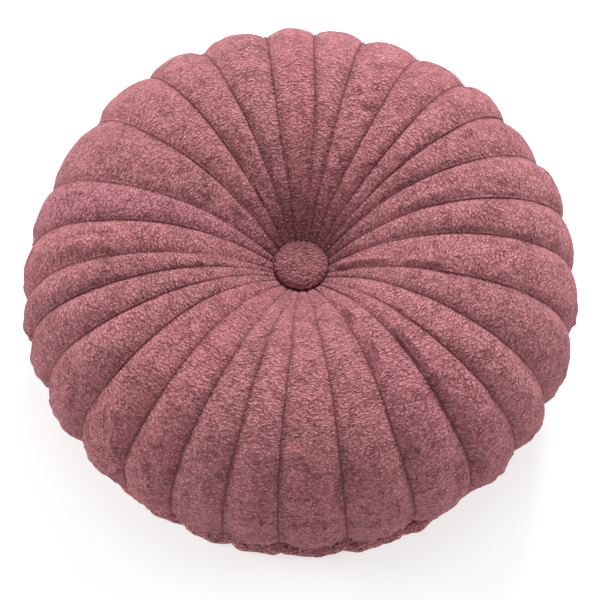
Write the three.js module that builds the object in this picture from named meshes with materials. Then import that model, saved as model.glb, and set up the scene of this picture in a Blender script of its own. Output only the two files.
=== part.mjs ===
// A round channelled throw pillow: one filled body gathered under a covered button,
// standing on a flat base panel whose puckered lip shows under the channel ends.
// Millimetres, +Z up. The origin is the centre of the underside, on the floor.
// Bearings are degrees clockwise seen from above, from the far side (+Y), and the
// front of the pillow faces -Y.

import * as THREE from "three";
import { mergeVertices } from "three/addons/utils/BufferGeometryUtils.js";

// Driving dimensions of the filled body, measured on the crest of a channel
const BODY_RADIUS = 200;
const CROWN_RADIUS = 119;
const CROWN_HEIGHT = 153;
const WIDEST_HEIGHT = 75.5;
const MOUTH_RADIUS = 16;
const MOUTH_HEIGHT = 95.5;
const FUNNEL_POWER = 2.2;
const SHOULDER_POWER = 2.12;
const WALL_POWER = 1.35;
const FOOT_RADIUS = 180;
const FOOT_DEPTH = 7;

// The sewn channels: depth of the seams at the widest ring, and how round each crest is
const SEAM_DEPTH = 5.5;
const SEAM_DEPTH_POWER = 0.8;
const CREST_POWER = 2;
const WIDEST_SHARE = 1.3;

// The seam that joins the body to the base, and the flat underside inside it
const JOIN_RADIUS = 170;
const JOIN_HEIGHT = 10.3;
const FLAT_RADIUS = 160;
const PANEL_THICKNESS = 3;
const GAP = 0.3;

// The puckered lip of the base panel
const LIP_RADIUS = 188.5;
const LIP_THICKNESS = 9;
const LIP_PUCKER = 1.6;
const LIP_NOTCH = 3;
const LIP_SCALLOP_POWER = 0.6;
const LIP_FLOOR_INSET = 4;

// The covered button in the funnel
const BUTTON_RADIUS = 19.2;
const BUTTON_SEAT_RADIUS = 13;
const BUTTON_WAIST_RADIUS = 15.8;
const BUTTON_WAIST_RISE = 2.5;
const BUTTON_ROLL = 0.8;
const BUTTON_EDGE_RISE = 7;
const BUTTON_DOME = 6;
const BUTTON_DOME_POWER = 0.9;
const SEAT_DEPTH = 1.4;

// Mesh resolution
const STEPS_PER_CHANNEL = 8;
const FUNNEL_ROWS = 7;
const FUNNEL_ROW_POWER = 1.25;
const SHOULDER_ROWS = 6;
const WALL_ROWS = 4;
const FOOT_ROWS = 3;
const LIP_STEPS_PER_CHANNEL = 6;
const BUTTON_SIDES = 32;
const BUTTON_DOME_STEPS = 6;

const CLOTH_COLOUR = 0xa8737a;
const BUTTON_COLOUR = 0x93565f;
const BASE_COLOUR = 0x9a636b;

// One row for each channel, going clockwise. top and rim are the bearings of the seam
// on its clockwise side, at the button and at the widest ring. push is how far its
// crest stands out beyond the round at the rim, and foot is the height of its lower end.
const CHANNELS = [
  { top: 8, rim: 3.5, push: 0.5, foot: 16 },
  { top: 15, rim: 15, push: 0, foot: 15 },
  { top: 29, rim: 28.5, push: -1, foot: 17 },
  { top: 42.5, rim: 40.5, push: -0.5, foot: 16 },
  { top: 51.5, rim: 52, push: 1, foot: 15 },
  { top: 59.5, rim: 65, push: -1.5, foot: 16 },
  { top: 73.5, rim: 78, push: 1.5, foot: 17 },
  { top: 87, rim: 90, push: -0.5, foot: 15 },
  { top: 106, rim: 104, push: 0, foot: 16 },
  { top: 116.5, rim: 119.5, push: 2, foot: 17 },
  { top: 129.5, rim: 131, push: 2.5, foot: 16 },
  { top: 137.5, rim: 143, push: 2, foot: 15 },
  { top: 151.5, rim: 156.5, push: 0.5, foot: 17 },
  { top: 169, rim: 170.5, push: -0.5, foot: 17 },
  { top: 185, rim: 184.5, push: -1.5, foot: 15 },
  { top: 196, rim: 196, push: -1.5, foot: 16 },
  { top: 206, rim: 207.5, push: -1, foot: 15 },
  { top: 223, rim: 218.5, push: 0, foot: 17 },
  { top: 236.5, rim: 231.5, push: 1, foot: 17 },
  { top: 245.5, rim: 244.5, push: 2, foot: 16 },
  { top: 254, rim: 255, push: 2, foot: 17 },
  { top: 262, rim: 263.5, push: 1.5, foot: 16 },
  { top: 277.5, rim: 275.5, push: 0.5, foot: 15 },
  { top: 290, rim: 288, push: -1.5, foot: 16 },
  { top: 309.5, rim: 307, push: -2.5, foot: 15 },
  { top: 325, rim: 323, push: -0.5, foot: 17 },
  { top: 339, rim: 336.5, push: 0.5, foot: 16 },
  { top: 349.5, rim: 351.5, push: 1.5, foot: 15 },
];

const TURN = 360;
const EVEN_WIDTH = TURN / CHANNELS.length;
const mix = (from, to, share) => from + (to - from) * share;
const clamp01 = (value) => Math.min(Math.max(value, 0), 1);
const eased = (share) => share * share * (3 - 2 * share);
const radians = THREE.MathUtils.degToRad;

// A point at a bearing, a radius from the axis and a height
function place(bearing, radius, height) {
  const angle = radians(bearing);
  return [radius * Math.sin(angle), radius * Math.cos(angle), height];
}

// The crest's meridian as rows of { radius, height, depth, spread, swell }: depth is how
// far the seams are drawn in, spread goes from 0 at the button to 1 at the rim, and
// swell is the share of a channel's own push, which dies away under the foot
function crestRows(foot) {
  const rows = [];
  const add = (radius, height, fade = 1) => {
    const spread = eased(clamp01((radius - MOUTH_RADIUS) / (FOOT_RADIUS - MOUTH_RADIUS)));
    const depth = SEAM_DEPTH * (radius / BODY_RADIUS) ** SEAM_DEPTH_POWER * fade;
    rows.push({ radius, height, depth, spread, swell: spread * fade });
  };
  for (let row = 0; row < FUNNEL_ROWS; row += 1) {
    const share = (row / FUNNEL_ROWS) ** FUNNEL_ROW_POWER;
    const rise = 1 - (1 - share) ** FUNNEL_POWER;
    add(mix(MOUTH_RADIUS, CROWN_RADIUS, share), mix(MOUTH_HEIGHT, CROWN_HEIGHT, rise));
  }
  for (let row = 0; row < SHOULDER_ROWS; row += 1) {
    const angle = (Math.PI / 2) * (row / SHOULDER_ROWS);
    const across = Math.sin(angle) ** (2 / SHOULDER_POWER);
    const up = Math.cos(angle) ** (2 / SHOULDER_POWER);
    add(mix(CROWN_RADIUS, BODY_RADIUS, across), mix(WIDEST_HEIGHT, CROWN_HEIGHT, up));
  }
  for (let row = 0; row < WALL_ROWS; row += 1) {
    const angle = (Math.PI / 2) * (row / WALL_ROWS);
    const across = Math.cos(angle) ** (2 / WALL_POWER);
    const down = Math.sin(angle) ** (2 / WALL_POWER);
    add(mix(FOOT_RADIUS, BODY_RADIUS, across), mix(WIDEST_HEIGHT, foot + FOOT_DEPTH, down));
  }
  for (let row = 0; row <= FOOT_ROWS; row += 1) {
    const angle = (Math.PI / 2) * (row / FOOT_ROWS);
    const inward = Math.cos(angle);
    const under = 1 - Math.sin(angle);
    const height = mix(JOIN_HEIGHT, foot + FOOT_DEPTH, under);
    add(mix(JOIN_RADIUS, FOOT_RADIUS, inward), height, inward);
  }
  return rows;
}

// Outward normals of a meridian, turned a quarter from the run of its neighbours
function meridianNormals(rows) {
  return rows.map((row, index) => {
    const before = rows[Math.max(index - 1, 0)];
    const after = rows[Math.min(index + 1, rows.length - 1)];
    const run = new THREE.Vector2(after.radius - before.radius, after.height - before.height);
    run.normalize();
    return { out: -run.y, up: run.x };
  });
}

// A closed surface from rings of points, with a pole point at each end
function closedRings(startPole, rings, endPole) {
  const columns = rings[0].length;
  const points = [startPole, ...rings.flat(), endPole];
  const last = points.length - 1;
  const triangles = [];
  for (let column = 0; column < columns; column += 1) {
    const next = (column + 1) % columns;
    triangles.push(0, 1 + next, 1 + column);
    for (let ring = 0; ring < rings.length - 1; ring += 1) {
      const upper = 1 + ring * columns;
      const lower = upper + columns;
      triangles.push(upper + column, upper + next, lower + next);
      triangles.push(upper + column, lower + next, lower + column);
    }
    const end = last - columns;
    triangles.push(end + column, end + next, last);
  }
  const geometry = new THREE.BufferGeometry();
  geometry.setAttribute("position", new THREE.Float32BufferAttribute(points.flat(), 3));
  geometry.setIndex(triangles);
  return geometry;
}

// Every column of one channel: s runs from -1 at its first seam to 1 at its second,
// closely spaced by the seams, where the crest falls away steeply
function channelColumns(index) {
  const channel = CHANNELS[index];
  const before = CHANNELS[(index + CHANNELS.length - 1) % CHANNELS.length];
  const wrap = index === 0 ? TURN : 0;
  const rows = crestRows(channel.foot);
  const seamRows = crestRows((channel.foot + before.foot) / 2);
  const columns = [];
  for (let step = 0; step < STEPS_PER_CHANNEL; step += 1) {
    const s = Math.sin(Math.PI * (step / STEPS_PER_CHANNEL - 0.5));
    const crest = (1 - Math.abs(s) ** CREST_POWER) ** (1 / CREST_POWER);
    const column = rows.map((row, level) => {
      const first = mix(before.top, before.rim, row.spread) - wrap;
      const second = mix(channel.top, channel.rim, row.spread);
      const fullness = Math.min((second - first) / EVEN_WIDTH, WIDEST_SHARE);
      const bearing = mix(first, second, (s + 1) / 2);
      const height = mix(seamRows[level].height, row.height, crest);
      const drawnIn = row.depth * fullness * (crest - 1);
      const push = channel.push * row.swell * crest;
      return { ...row, bearing, height, drawnIn, push };
    });
    columns.push(column);
  }
  return columns;
}

// The filled body: the crest's meridian carried round, drawn in along each seam by the
// crest curve (1 - |s|^p)^(1/p), closed by the seat under the button and the underside
function bodyGeometry() {
  const columns = CHANNELS.flatMap((_, index) => channelColumns(index));
  const normals = meridianNormals(crestRows(CHANNELS[0].foot));
  const rings = normals.map((normal, level) => columns.map((column) => {
    const point = column[level];
    const radius = point.radius + point.push + normal.out * point.drawnIn;
    return place(point.bearing, radius, point.height + normal.up * point.drawnIn);
  }));
  const seatHeight = MOUTH_HEIGHT - SEAT_DEPTH;
  const underside = PANEL_THICKNESS + GAP;
  const seatRing = columns.map((column) => (
    place(column[0].bearing, MOUTH_RADIUS - SEAT_DEPTH, seatHeight)
  ));
  const flatRing = columns.map((column) => (
    place(column[column.length - 1].bearing, FLAT_RADIUS, underside)
  ));
  return closedRings([0, 0, seatHeight], [seatRing, ...rings, flatRing], [0, 0, underside]);
}

// The lip's uneven pucker at a bearing, from -1 to 1: three waves that never line up
function pucker(bearing) {
  const angle = radians(bearing);
  const coarse = Math.sin(11 * angle + 0.7);
  const pleats = Math.sin(34 * angle + 1.3 * Math.sin(5 * angle));
  const fine = Math.sin(53 * angle + 2.1);
  return 0.35 * coarse + 0.4 * pleats + 0.25 * fine;
}

// The lip's columns: it is drawn in at the foot of each seam and puckered in between
function lipColumns() {
  return CHANNELS.flatMap((channel, index) => {
    const first = index === 0 ? CHANNELS.at(-1).rim - TURN : CHANNELS[index - 1].rim;
    return Array.from({ length: LIP_STEPS_PER_CHANNEL }, (_, step) => {
      const share = step / LIP_STEPS_PER_CHANNEL;
      const bearing = mix(first, channel.rim, share);
      const bulge = Math.sin(Math.PI * share) ** LIP_SCALLOP_POWER;
      const reach = LIP_NOTCH * (bulge - 1) + LIP_PUCKER * pucker(bearing);
      return { bearing, reach };
    });
  });
}

// The base panel: a flat cloth disc whose edge is turned into a puckered lip. Each ring
// is a radius and a height, and the share of the lip's reach that moves either
function panelGeometry() {
  const columns = lipColumns();
  const ring = (radius, height, outward, upward) => columns.map(({ bearing, reach }) => (
    place(bearing, radius + outward * reach, height + upward * reach)
  ));
  const rings = [
    ring(FLAT_RADIUS, PANEL_THICKNESS, 0, 0),
    ring(JOIN_RADIUS, LIP_THICKNESS, 0, 0),
    ring(LIP_RADIUS - 5, LIP_THICKNESS - 1, 0.5, 0.25),
    ring(LIP_RADIUS, LIP_THICKNESS / 2, 1, 0.3),
    ring(LIP_RADIUS - 1, LIP_THICKNESS / 5, 1, 0),
    ring(LIP_RADIUS - LIP_FLOOR_INSET, 0, 1, 0),
  ];
  return closedRings([0, 0, PANEL_THICKNESS], rings, [0, 0, 0]);
}

// The covered button: a flat seat, a flared side that follows the funnel, and a dome
// whose radius falls as a power of the cosine while it rises as the sine
function buttonGeometry() {
  const seat = MOUTH_HEIGHT - SEAT_DEPTH + GAP;
  const edge = seat + BUTTON_EDGE_RISE;
  const profile = [[0, seat], [BUTTON_SEAT_RADIUS, seat]];
  profile.push([BUTTON_WAIST_RADIUS, seat + BUTTON_WAIST_RISE]);
  profile.push([BUTTON_RADIUS - BUTTON_ROLL / 2, edge - BUTTON_ROLL]);
  for (let step = 0; step < BUTTON_DOME_STEPS; step += 1) {
    const angle = (Math.PI / 2) * (step / BUTTON_DOME_STEPS);
    const radius = BUTTON_RADIUS * Math.cos(angle) ** BUTTON_DOME_POWER;
    profile.push([radius, edge + BUTTON_DOME * Math.sin(angle)]);
  }
  profile.push([0, edge + BUTTON_DOME]);
  const points = profile.map(([radius, height]) => new THREE.Vector2(radius, height));
  const geometry = new THREE.LatheGeometry(points, BUTTON_SIDES);
  geometry.rotateX(Math.PI / 2);
  return closedLathe(geometry);
}

// A lathe's shared points joined, so that its seam and both poles are closed
function closedLathe(geometry) {
  geometry.deleteAttribute("normal");
  geometry.deleteAttribute("uv");
  const merged = mergeVertices(geometry);
  const kept = [];
  const index = merged.getIndex().array;
  for (let corner = 0; corner < index.length; corner += 3) {
    const [a, b, c] = index.slice(corner, corner + 3);
    if (a !== b && b !== c && a !== c) {
      kept.push(a, b, c);
    }
  }
  merged.setIndex(kept);
  return merged;
}

function clothPiece(name, geometry, colour, roughness) {
  const material = new THREE.MeshStandardMaterial({ color: colour, roughness, metalness: 0 });
  const mesh = new THREE.Mesh(geometry, material);
  mesh.name = name;
  return mesh;
}

const pillow = new THREE.Group();
pillow.add(clothPiece("base_panel", panelGeometry(), BASE_COLOUR, 1));
pillow.add(clothPiece("cushion_body", bodyGeometry(), CLOTH_COLOUR, 0.95));
pillow.add(clothPiece("centre_button", buttonGeometry(), BUTTON_COLOUR, 0.9));

export default pillow;
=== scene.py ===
"""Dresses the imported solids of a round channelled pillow: plush cover, covered button,
puckered base panel and a plain studio. Lengths are in metres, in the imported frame."""

import math

import bpy
import numpy as np
from bpy.props import FloatProperty, FloatVectorProperty, PointerProperty
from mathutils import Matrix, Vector


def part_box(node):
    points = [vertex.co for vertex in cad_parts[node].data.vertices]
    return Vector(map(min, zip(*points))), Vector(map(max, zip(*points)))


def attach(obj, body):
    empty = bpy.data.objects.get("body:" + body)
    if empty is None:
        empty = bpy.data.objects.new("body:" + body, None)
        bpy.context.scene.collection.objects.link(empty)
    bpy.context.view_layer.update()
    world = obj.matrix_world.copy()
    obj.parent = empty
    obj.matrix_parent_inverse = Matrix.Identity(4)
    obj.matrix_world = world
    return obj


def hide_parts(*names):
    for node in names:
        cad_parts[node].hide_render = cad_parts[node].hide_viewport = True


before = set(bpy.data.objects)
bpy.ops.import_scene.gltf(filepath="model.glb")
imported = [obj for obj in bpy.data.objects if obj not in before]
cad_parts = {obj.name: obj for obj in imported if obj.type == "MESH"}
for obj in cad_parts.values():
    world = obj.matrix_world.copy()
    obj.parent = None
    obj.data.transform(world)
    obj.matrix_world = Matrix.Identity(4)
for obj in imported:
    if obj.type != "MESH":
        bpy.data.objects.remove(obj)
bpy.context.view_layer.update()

bl_info = {
    "name": "Round channelled pillow",
    "version": (1, 0, 0),
    "blender": (4, 5, 0),
    "location": "3D View > Sidebar > Pillow",
    "description": "A plush channelled pillow with a covered button, dressed over its packed solids",
    "category": "Object",
}

MM = 0.001
TURN = 2 * math.pi

# The body's driving dimensions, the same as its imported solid's
BODY_RADIUS = 200 * MM
CROWN_RADIUS = 119 * MM
CROWN_HEIGHT = 153 * MM
WIDEST_HEIGHT = 75.5 * MM
MOUTH_RADIUS = 16 * MM
MOUTH_HEIGHT = 95.5 * MM
FUNNEL_POWER = 2.2
SHOULDER_POWER = 2.12
WALL_POWER = 1.35
FOOT_RADIUS = 180 * MM
FOOT_DEPTH = 7 * MM
SEAM_DEPTH_POWER = 0.8
JOIN_RADIUS = 170 * MM
JOIN_HEIGHT = 10.3 * MM
FLAT_RADIUS = 160 * MM
PANEL_THICKNESS = 3 * MM
GAP = 0.3 * MM
SEAT_DEPTH = 1.4 * MM

# The stretches of a crest from the button down: funnel, shoulder, wall and foot
STRETCHES = 4

# The lip of the base panel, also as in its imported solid
LIP_RADIUS = 188.5 * MM
LIP_THICKNESS = 9 * MM
LIP_NOTCH = 3 * MM
LIP_SCALLOP_POWER = 0.6

# One row for each channel, clockwise from above, starting at the far side: the bearings
# in degrees of its clockwise seam at the button and at the rim, how far its crest stands
# out at the rim and the height of its lower end, both in millimetres
CHANNELS = np.array([
    (8, 3.5, 0.5, 16),
    (15, 15, 0, 15),
    (29, 28.5, -1, 17),
    (42.5, 40.5, -0.5, 16),
    (51.5, 52, 1, 15),
    (59.5, 65, -1.5, 16),
    (73.5, 78, 1.5, 17),
    (87, 90, -0.5, 15),
    (106, 104, 0, 16),
    (116.5, 119.5, 2, 17),
    (129.5, 131, 2.5, 16),
    (137.5, 143, 2, 15),
    (151.5, 156.5, 0.5, 17),
    (169, 170.5, -0.5, 17),
    (185, 184.5, -1.5, 15),
    (196, 196, -1.5, 16),
    (206, 207.5, -1, 15),
    (223, 218.5, 0, 17),
    (236.5, 231.5, 1, 17),
    (245.5, 244.5, 2, 16),
    (254, 255, 2, 17),
    (262, 263.5, 1.5, 16),
    (277.5, 275.5, 0.5, 15),
    (290, 288, -1.5, 16),
    (309.5, 307, -2.5, 15),
    (325, 323, -0.5, 17),
    (339, 336.5, 0.5, 16),
    (349.5, 351.5, 1.5, 15),
])

# One row for each main crease of the cover, clockwise. It runs from its start past a
# middle point to its end, each a bearing in degrees and a share of the way from the
# button to the hem in percent. Its depth and width are in millimetres
FOLDS = np.array([
    (1, 30, 3, 30, 5, 29, 0.6, 2.0),
    (5, 41, 10, 41, 15, 41, 0.5, 2.0),
    (17, 40, 19.5, 39.5, 21, 37.5, 1.5, 2.0),
    (21, 37, 24, 36, 27, 38, 1.2, 2.0),
    (35, 17, 39, 17, 42, 18, 0.6, 2.0),
    (45, 29, 48, 30, 51, 30, 0.8, 2.0),
    (51.5, 29.5, 52, 30, 53, 30, 1.2, 2.0),
    (54.5, 44, 55.5, 46, 55.5, 48, 1.6, 2.2),
    (55.5, 54.5, 59.5, 56.5, 64.5, 54, 0.8, 2.0),
    (70, 22, 72, 27, 73, 40, 0.7, 3.0),
    (98, 4, 101, 12, 103, 22, 1.5, 2.4),
    (103, 22, 103.5, 28, 103.5, 33, 1.4, 2.4),
    (100, 47, 102, 44, 105, 42, 0.6, 2.2),
    (136.5, 29, 138, 33, 139, 40, 1.6, 2.6),
    (139, 40, 139.5, 45, 141, 51, 1.2, 2.6),
    (144, 14, 147, 14, 150, 15, 0.8, 2.0),
    (148.5, 16, 148.5, 20, 148.5, 24, 1.5, 2.6),
    (149.5, 27, 150, 31, 152, 36, 1.6, 2.6),
    (145, 62, 146, 66, 146.5, 73, 1.4, 2.2),
    (148.5, 68, 150.5, 67.5, 152, 70, 1.0, 2.0),
    (155, 24, 157, 19, 163, 18, 0.8, 2.2),
    (165, 17, 167, 18, 168.5, 20, 0.9, 2.2),
    (160.5, 62, 160.5, 67, 161.5, 73, 1.4, 2.2),
    (164.5, 67, 164.5, 70, 165, 72, 1.4, 2.0),
    (171, 36, 174, 38.5, 177, 40, 0.8, 2.0),
    (177, 40, 180, 40, 182, 40, 0.8, 2.0),
    (176.5, 63, 175.5, 67, 175.5, 70, 1.5, 2.0),
    (176, 68, 175.5, 72, 174.5, 76, 1.7, 2.0),
    (178, 64, 177.5, 68, 177.5, 72, 1.2, 2.0),
    (182, 66, 181, 68, 180.5, 70, 1.2, 2.0),
    (189.5, 64, 188.5, 66, 188, 70, 1.9, 2.2),
    (188, 70, 188, 73, 187.5, 75, 1.7, 2.2),
    (188, 15, 190, 14, 192, 13, 0.7, 2.0),
    (198, 29.5, 200, 28, 203, 26.5, 0.8, 2.0),
    (204.5, 64, 204, 68, 204, 74, 1.2, 2.2),
    (217.5, 60, 214.5, 62, 212.5, 65, 1.9, 2.4),
    (212.5, 65, 211.5, 68, 211, 70.5, 1.7, 2.4),
    (211, 71, 209.5, 72, 208, 74, 1.5, 2.2),
    (224, 31, 228, 37, 233, 38, 0.8, 2.2),
    (226, 55, 224, 58, 222.5, 61, 1.6, 2.6),
    (222.5, 61, 221.5, 64, 219.5, 66, 2.0, 2.6),
    (218.5, 70, 220.5, 73, 221.5, 75, 1.8, 2.4),
    (228, 63, 227.5, 66, 228, 69, 1.3, 2.2),
    (237, 20, 240, 21, 244, 22.5, 0.7, 2.0),
    (238, 60, 236.5, 64, 235.5, 69, 1.6, 2.8),
    (246, 26, 247.5, 27, 248, 26, 0.8, 2.0),
    (254.5, 22, 256, 22.5, 257.5, 24, 1.2, 2.0),
    (264, 41, 267, 43, 268, 46, 0.9, 2.4),
    (268, 46, 268, 49, 267.5, 52, 1.2, 2.2),
    (264.5, 48, 266, 47, 267, 46, 0.8, 2.0),
    (271, 40, 272, 44, 271, 48, 0.9, 2.0),
    (283.5, 50, 283.5, 54, 282.5, 58, 1.0, 2.2),
    (290.5, 23, 293, 27, 296, 30, 0.9, 2.0),
    (301, 46, 300, 48, 301, 50, 0.6, 2.0),
    (304.5, 13, 303.5, 16, 303, 20, 1.0, 2.2),
    (307, 54, 311, 56, 314, 58, 0.7, 2.2),
    (325, 25, 328, 26.5, 330, 28, 0.9, 2.0),
    (330.5, 29, 332, 28.5, 333, 28, 1.3, 2.2),
    (324, 13, 325, 15, 325, 18, 1.1, 2.2),
    (340, 16, 342, 17, 344, 16, 0.4, 2.0),
])

TOP, RIM, PUSH, FOOT = CHANNELS.T
COUNT = len(CHANNELS)

# The channels' grid. Steps across crowd towards the seams, and crests lean by up to a
# share of half their channel. A seam is deeper beside wide channels, between two shares
# of the mean width, and runs out over the last stations
MEASURED_STATIONS = 4001
CROWDING = 0.45
CREST_LEAN = 0.12
WIDTH_LIMITS = (0.55, 1.25)
SEAM_RUN_OUT = 0.9
GRID_SEED = 28


def mix(start, end, share):
    """start at share 0 and end at share 1, in a straight line between."""
    return start + (end - start) * share


def eased(share):
    """The smooth step 3s^2 - 2s^3 of a share held between 0 and 1."""
    held = np.clip(share, 0, 1)
    return held * held * (3 - 2 * held)


def lattice_noise(points, cell, seed):
    """Smooth noise from -1 to 1: random values on a cubic lattice of that cell, blended by
    the smooth step along each axis. points is an array of (..., 3)."""
    scaled = points / cell
    base = np.floor(scaled).astype(np.int64)
    share = scaled - base
    share = share * share * (3 - 2 * share)
    total = np.zeros(points.shape[:-1])
    for corner in range(8):
        step = np.array([corner & 1, corner >> 1 & 1, corner >> 2 & 1])
        key = base + step
        code = key[..., 0] * 73856093 ^ key[..., 1] * 19349663 ^ key[..., 2] * 83492791
        code = (code ^ seed * 2654435761) & 0xFFFFFFFF
        code = (code ^ code >> 15) * 2246822519 & 0xFFFFFFFF
        code = (code ^ code >> 13) * 3266489917 & 0xFFFFFFFF
        value = ((code ^ code >> 16) & 0xFFFFFF) / 0xFFFFFF * 2 - 1
        weight = np.prod(np.where(step == 1, share, 1 - share), axis=-1)
        total += value * weight
    return total


def meridian(station, foot):
    """Radius and height of a channel's crest. station runs 0 to 4 over four stretches: the
    funnel, whose height rises as 1 - (1 - t)^p; the shoulder and the wall, quarters of
    superellipses; and the foot, a quarter ellipse that curls under to the join."""
    start = np.arange(STRETCHES).reshape(-1, *[1] * station.ndim)
    t = np.clip(station - start, 0, 1)
    quarter = t * math.pi / 2
    top_of_foot = foot + FOOT_DEPTH
    rise = 1 - (1 - t[0]) ** FUNNEL_POWER
    round_out = np.sin(quarter[1]) ** (2 / SHOULDER_POWER)
    round_up = np.abs(np.cos(quarter[1])) ** (2 / SHOULDER_POWER)
    wall_out = np.abs(np.cos(quarter[2])) ** (2 / WALL_POWER)
    wall_down = np.sin(quarter[2]) ** (2 / WALL_POWER)
    radii = [
        mix(MOUTH_RADIUS, CROWN_RADIUS, t[0]),
        mix(CROWN_RADIUS, BODY_RADIUS, round_out),
        mix(FOOT_RADIUS, BODY_RADIUS, wall_out),
        mix(JOIN_RADIUS, FOOT_RADIUS, np.cos(quarter[3])),
    ]
    heights = [
        mix(MOUTH_HEIGHT, CROWN_HEIGHT, rise),
        mix(WIDEST_HEIGHT, CROWN_HEIGHT, round_up),
        mix(WIDEST_HEIGHT, top_of_foot, wall_down),
        mix(top_of_foot, JOIN_HEIGHT, np.sin(quarter[3])),
    ]
    stretch = [np.broadcast_to(station < limit, t[0].shape) for limit in range(1, STRETCHES)]
    return np.select(stretch, radii[:-1], radii[-1]), np.select(stretch, heights[:-1], heights[-1])


def even_stations(rows):
    """Stations that lie the same distance apart along the crest, and that length."""
    dense = np.linspace(0, STRETCHES, MEASURED_STATIONS)
    radius, height = meridian(dense[None], np.full((1, 1), FOOT.mean() * MM))
    length = np.concatenate([[0], np.cumsum(np.hypot(np.diff(radius[0]), np.diff(height[0])))])
    return np.interp(np.linspace(0, length[-1], rows), length, dense), length[-1]


def crest_curve(across, power):
    """The round of a stuffed channel, (1 - |s|^p)^(1/p): 1 on the crest, 0 at its seams."""
    return np.clip(1 - np.abs(across) ** power, 0, 1) ** (1 / power)


def channel_grid(steps, rows, seam_depth, power, wander):
    """The cover before it is stuffed, as points of (channel, step, row, 3). Each point is
    the crest's meridian at its own bearing, drawn in along the meridian's normal by the
    crest curve. wander bends the seams and leans the crests by slow random waves."""
    rng = np.random.default_rng(GRID_SEED)
    station, length = even_stations(rows)
    along = np.linspace(0, 1, rows)
    linear = np.linspace(-1, 1, steps + 1)
    across = mix(linear, np.sin(linear * math.pi / 2), CROWDING)[None, :, None]
    crest = crest_curve(across, power)
    foot_seam = (FOOT + np.roll(FOOT, 1)) / 2
    foot_next = np.roll(foot_seam, -1)
    ends = np.where(across < 0, foot_seam[:, None, None], foot_next[:, None, None])
    foot = mix(ends, FOOT[:, None, None], crest) * MM
    radius, height = meridian(np.broadcast_to(station, (COUNT, steps + 1, rows)), foot)

    spread = eased((radius - MOUTH_RADIUS) / (FOOT_RADIUS - MOUTH_RADIUS))
    phases = rng.uniform(0, TURN, (COUNT, 3, 1))
    waves = np.arange(2, 5)[None, :, None]
    bend = (np.sin(waves * math.pi * along + phases) / waves).sum(1) * np.sin(math.pi * along)
    seam_top = TOP[:, None, None]
    seam_rim = RIM[:, None, None]
    second = mix(seam_top, seam_rim, spread) + (wander * bend)[:, None, :]
    wrap = np.where(np.arange(COUNT) == 0, 360.0, 0.0)[:, None, None]
    first = mix(np.roll(seam_top, 1, 0), np.roll(seam_rim, 1, 0), spread)
    first = first + np.roll(wander * bend, 1, 0)[:, None, :] - wrap
    lean = rng.uniform(-CREST_LEAN, CREST_LEAN, (COUNT, 1, 1))
    lean = lean * np.sin(math.pi * along + phases[:, :1])
    share = (across + lean * (1 - across**2) + 1) / 2
    bearing = np.radians(mix(first, second, share))

    width = (second - first) / (360.0 / COUNT)
    fade = np.clip((STRETCHES - station) / SEAM_RUN_OUT, 0, 1)
    fade = np.sqrt(1 - (1 - fade) ** 2)
    depth = seam_depth * (radius / BODY_RADIUS) ** SEAM_DEPTH_POWER * fade
    drawn_in = depth * np.clip(width, *WIDTH_LIMITS) * (crest - 1)
    slope_out = np.gradient(radius, axis=2)
    slope_up = np.gradient(height, axis=2)
    run = np.hypot(slope_out, slope_up)
    push = PUSH[:, None, None] * MM * spread * fade * crest
    radius = radius + push - slope_up / run * drawn_in
    height = height + slope_out / run * drawn_in
    points = np.stack([radius * np.sin(bearing), radius * np.cos(bearing), height], axis=-1)
    points[:, -1] = np.roll(points[:, 0], -1, 0)
    return points, across[0, :, 0], along * length


def refined(points, axis):
    """Twice as many steps along an axis: the new points lie on the cubic through the four
    around them, (9(b + c) - (a + d)) / 16, and at the ends on a parabola."""
    p = np.moveaxis(points, axis, 0)
    ahead = np.concatenate([p[:1] * 3 - p[1:2] * 3 + p[2:3], p, p[-1:] * 3 - p[-2:-1] * 3 + p[-3:-2]])
    middle = (9 * (p[:-1] + p[1:]) - ahead[:-3] - ahead[3:]) / 16
    out = np.empty((2 * len(p) - 1, *p.shape[1:]))
    out[0::2] = p
    out[1::2] = middle
    return np.moveaxis(out, 0, axis)


def refined_values(values):
    """Twice as many steps of a plain list of values, each new one half-way."""
    out = np.empty(2 * len(values) - 1)
    out[0::2] = values
    out[1::2] = (values[:-1] + values[1:]) / 2
    return out


def ring_grid(points):
    """Channels of points joined into one closed run of columns, as (column, row, 3)."""
    return points[:, :-1].reshape(-1, *points.shape[2:])


def grid_normals(columns):
    """Unit normals of a grid that is closed round its columns, from the cross product of
    its two directions, facing outwards."""
    around = np.roll(columns, -1, 0) - np.roll(columns, 1, 0)
    down = np.gradient(columns, axis=1)
    normal = np.cross(down, around)
    return normal / np.maximum(np.linalg.norm(normal, axis=-1, keepdims=True), 1e-12)


def closed_faces(columns, rows):
    """Faces of a grid closed round its columns, with a fan to a pole point at each end.
    The points go column by column, then the first pole and the last."""
    here = np.arange(columns)
    there = (here + 1) % columns
    row = np.arange(rows - 1)
    a = here[:, None] * rows + row
    b = there[:, None] * rows + row
    quads = np.stack([a, b, b + 1, a + 1], axis=-1).reshape(-1, 4)
    first, last = columns * rows, columns * rows + 1
    start = np.stack([np.full(columns, first), there * rows, here * rows], axis=-1)
    bottom = rows - 1
    end = np.stack([here * rows + bottom, there * rows + bottom, np.full(columns, last)], axis=-1)
    return quads, np.concatenate([start, end])


def closed_mesh(name, columns, poles):
    """A mesh of a closed grid of points and its two poles, smooth shaded."""
    count, rows = columns.shape[:2]
    quads, fans = closed_faces(count, rows)
    points = np.concatenate([columns.reshape(-1, 3), np.asarray(poles)])
    mesh = bpy.data.meshes.new(name)
    mesh.from_pydata(points.tolist(), [], quads.tolist() + fans.tolist())
    mesh.shade_smooth()
    return mesh


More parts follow.
